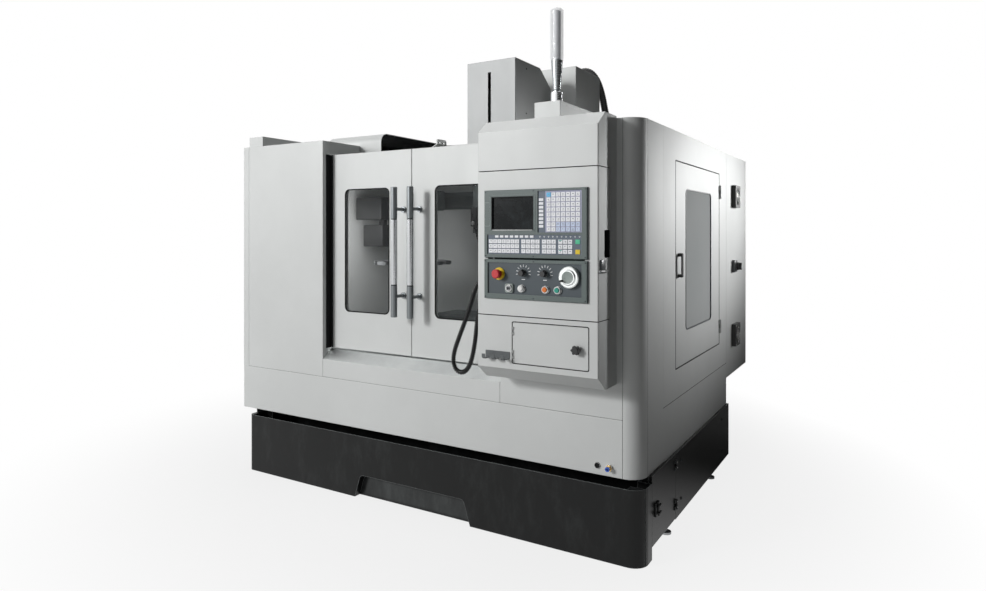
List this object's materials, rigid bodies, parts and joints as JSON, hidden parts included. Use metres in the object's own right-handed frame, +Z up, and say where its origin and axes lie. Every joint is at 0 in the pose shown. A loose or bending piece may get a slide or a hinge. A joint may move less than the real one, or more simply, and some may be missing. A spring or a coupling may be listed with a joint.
{
  "type": "cnc machining center",
  "caption": "Enclosed vertical machining centre with sliding front doors, hinged side door and operator console, tool magazine, electrical cabinet and coolant tank",
  "frame": {"origin": "on the floor under the middle of the whole machine", "axes": "+Z up, +X to the right of someone at the console, the front faces -Y"},
  "size_m": [2.524, 2.429, 2.5884],
  "materials": {
    "panel_paint": "satin warm grey powder coat",
    "black_paint": "gloss black paint",
    "stainless": "brushed stainless sheet",
    "steel": "ground steel",
    "casting": "painted casting with machined faces",
    "tinted_window": "tinted safety window",
    "clear_tube": "clear plastic tube",
    "handle": "black grips round a bright tube",
    "black_plastic": "black moulded plastic",
    "control_plate": "dark grey control frame",
    "key_sheet": "light keys on a grey sheet",
    "screen_glass": "dark screen",
    "red_cap": "red cap",
    "white_cap": "white lens",
    "orange_cap": "orange lens",
    "green_cap": "green lens",
    "bright_metal": "bright plated metal",
    "lamp_metal": "anodised lamp base",
    "conduit": "ribbed black conduit",
    "hose": "black rubber hose"
  },
  "bodies": {
    "machine": {"coolant_tank": "black_paint", "base_skirt": "black_paint", "levelling_feet": "steel", "bed_casting": "casting", "column_casting": "casting", "axis_drives": "steel", "column_top_cover": "panel_paint", "lower_front_panel": "panel_paint", "left_front_cover": "panel_paint", "door_sill": "stainless", "right_front_panel": "panel_paint", "side_panels": "panel_paint", "rear_panels": "panel_paint", "magazine_hood": "panel_paint", "door_surround": "panel_paint", "chip_pans": "stainless", "electrical_cabinet": "panel_paint", "cabinet_fans": "black_plastic", "console_case": "panel_paint", "pendant_hooks": "bright_metal", "conduit_loop": "conduit", "panel_fittings": "bright_metal", "signal_light_base": "lamp_metal", "signal_light_tube": "clear_tube", "light_duct": "panel_paint", "rear_hose": "hose", "magazine_frame": "casting"},
    "left_door": {"left_door": "panel_paint", "left_door_window": "tinted_window", "left_door_handle": "handle"},
    "right_door": {"right_door": "panel_paint", "right_door_window": "tinted_window", "right_door_handle": "handle"},
    "side_door": {"side_door": "panel_paint", "side_door_window": "tinted_window", "side_door_handle": "black_plastic"},
    "base_hatch": {"base_hatch": "black_paint"},
    "cabinet_door": {"cabinet_door": "panel_paint"},
    "console_shell": {"console_shell": "panel_paint", "control_frames": "control_plate", "screen": "screen_glass", "keypad": "key_sheet"},
    "emergency_stop": {"emergency_stop": "red_cap"},
    "speed_selector": {"speed_selector": "black_plastic"},
    "feed_selector": {"feed_selector": "black_plastic"},
    "handwheel": {"handwheel": "black_plastic"},
    "key_switch": {"key_switch": "bright_metal"},
    "white_button": {"white_button": "white_cap"},
    "orange_button": {"orange_button": "orange_cap"},
    "green_button": {"green_button": "green_cap"},
    "console_flap": {"console_flap": "panel_paint"},
    "star_knob": {"star_knob": "black_plastic"},
    "saddle": {"saddle": "casting"},
    "work_table": {"work_table": "casting"},
    "headstock": {"headstock": "casting", "head_cover": "panel_paint"},
    "spindle": {"spindle": "steel"},
    "magazine_carriage": {"magazine_carriage": "casting"},
    "tool_carousel": {"tool_carousel": "steel"},
    "main_switch_handle": {"main_switch_handle": "black_plastic"}
  },
  "joints": [
    {"name": "left_door_slide", "type": "slide", "parent": "machine", "child": "left_door", "axis": [-1, 0, 0], "range_m": [0, 0.48]},
    {"name": "right_door_slide", "type": "slide", "parent": "machine", "child": "right_door", "axis": [1, 0, 0], "range_m": [0, 0.48]},
    {"name": "side_door_hinge", "type": "hinge", "parent": "machine", "child": "side_door", "pos_m": [1.2355, 0.433, 1.25], "axis": [0, 0, 1], "range_deg": [0, 110]},
    {"name": "base_hatch_hinge", "type": "hinge", "parent": "machine", "child": "base_hatch", "pos_m": [1.2485, -0.5105, 0.216], "axis": [0, 0, 1], "range_deg": [0, 110]},
    {"name": "cabinet_door_hinge", "type": "hinge", "parent": "machine", "child": "cabinet_door", "pos_m": [0.4225, 1.1865, 1.2], "axis": [0, 0, 1], "range_deg": [0, 110]},
    {"name": "console_shell_hinge", "type": "hinge", "parent": "machine", "child": "console_shell", "pos_m": [0.5445, -1.02675, 1.36], "axis": [0, 0, -1], "range_deg": [0, 90]},
    {"name": "console_flap_hinge", "type": "hinge", "parent": "machine", "child": "console_flap", "pos_m": [0.725, -1.1635, 0.93], "axis": [0, 0, -1], "range_deg": [0, 90]},
    {"name": "star_knob_turn", "type": "hinge", "parent": "console_flap", "child": "star_knob", "pos_m": [1.03, -1.159, 0.925], "axis": [0, -1, 0], "range_deg": [0, 90]},
    {"name": "main_switch_turn", "type": "hinge", "parent": "machine", "child": "main_switch_handle", "pos_m": [1.229, 0.817, 1.189], "axis": [1, 0, 0], "range_deg": [0, 90]},
    {"name": "emergency_stop_push", "type": "slide", "parent": "console_shell", "child": "emergency_stop", "axis": [0, 1, 0], "range_m": [0, 0.006]},
    {"name": "speed_selector_turn", "type": "hinge", "parent": "console_shell", "child": "speed_selector", "pos_m": [0.783, -1.165, 1.23], "axis": [0, -1, 0], "range_deg": [-120, 120]},
    {"name": "feed_selector_turn", "type": "hinge", "parent": "console_shell", "child": "feed_selector", "pos_m": [0.885, -1.165, 1.23], "axis": [0, -1, 0], "range_deg": [-120, 120]},
    {"name": "handwheel_turn", "type": "hinge", "parent": "console_shell", "child": "handwheel", "pos_m": [1, -1.165, 1.219], "axis": [0, -1, 0], "continuous": true},
    {"name": "key_switch_turn", "type": "hinge", "parent": "console_shell", "child": "key_switch", "pos_m": [0.716, -1.165, 1.164], "axis": [0, -1, 0], "range_deg": [0, 90]},
    {"name": "white_button_push", "type": "slide", "parent": "console_shell", "child": "white_button", "axis": [0, 1, 0], "range_m": [0, 0.004], "stiffness_N_per_m": 500, "springref_m": -0.004},
    {"name": "orange_button_push", "type": "slide", "parent": "console_shell", "child": "orange_button", "axis": [0, 1, 0], "range_m": [0, 0.004], "stiffness_N_per_m": 500, "springref_m": -0.004},
    {"name": "green_button_push", "type": "slide", "parent": "console_shell", "child": "green_button", "axis": [0, 1, 0], "range_m": [0, 0.004], "stiffness_N_per_m": 500, "springref_m": -0.004},
    {"name": "saddle_slide", "type": "slide", "parent": "machine", "child": "saddle", "axis": [0, 1, 0], "range_m": [-0.2, 0.2]},
    {"name": "table_slide", "type": "slide", "parent": "saddle", "child": "work_table", "axis": [1, 0, 0], "range_m": [-0.37, 0.37]},
    {"name": "head_slide", "type": "slide", "parent": "machine", "child": "headstock", "axis": [0, 0, 1], "range_m": [-0.33, 0.17]},
    {"name": "spindle_turn", "type": "hinge", "parent": "headstock", "child": "spindle", "pos_m": [0, -0.005, 1.29], "axis": [0, 0, 1], "continuous": true},
    {"name": "magazine_slide", "type": "slide", "parent": "machine", "child": "magazine_carriage", "axis": [1, 0, 0], "range_m": [0, 0.47]},
    {"name": "carousel_turn", "type": "hinge", "parent": "magazine_carriage", "child": "tool_carousel", "pos_m": [-0.7, -0.005, 1.2], "axis": [0, 0, 1], "continuous": true}
  ]
}
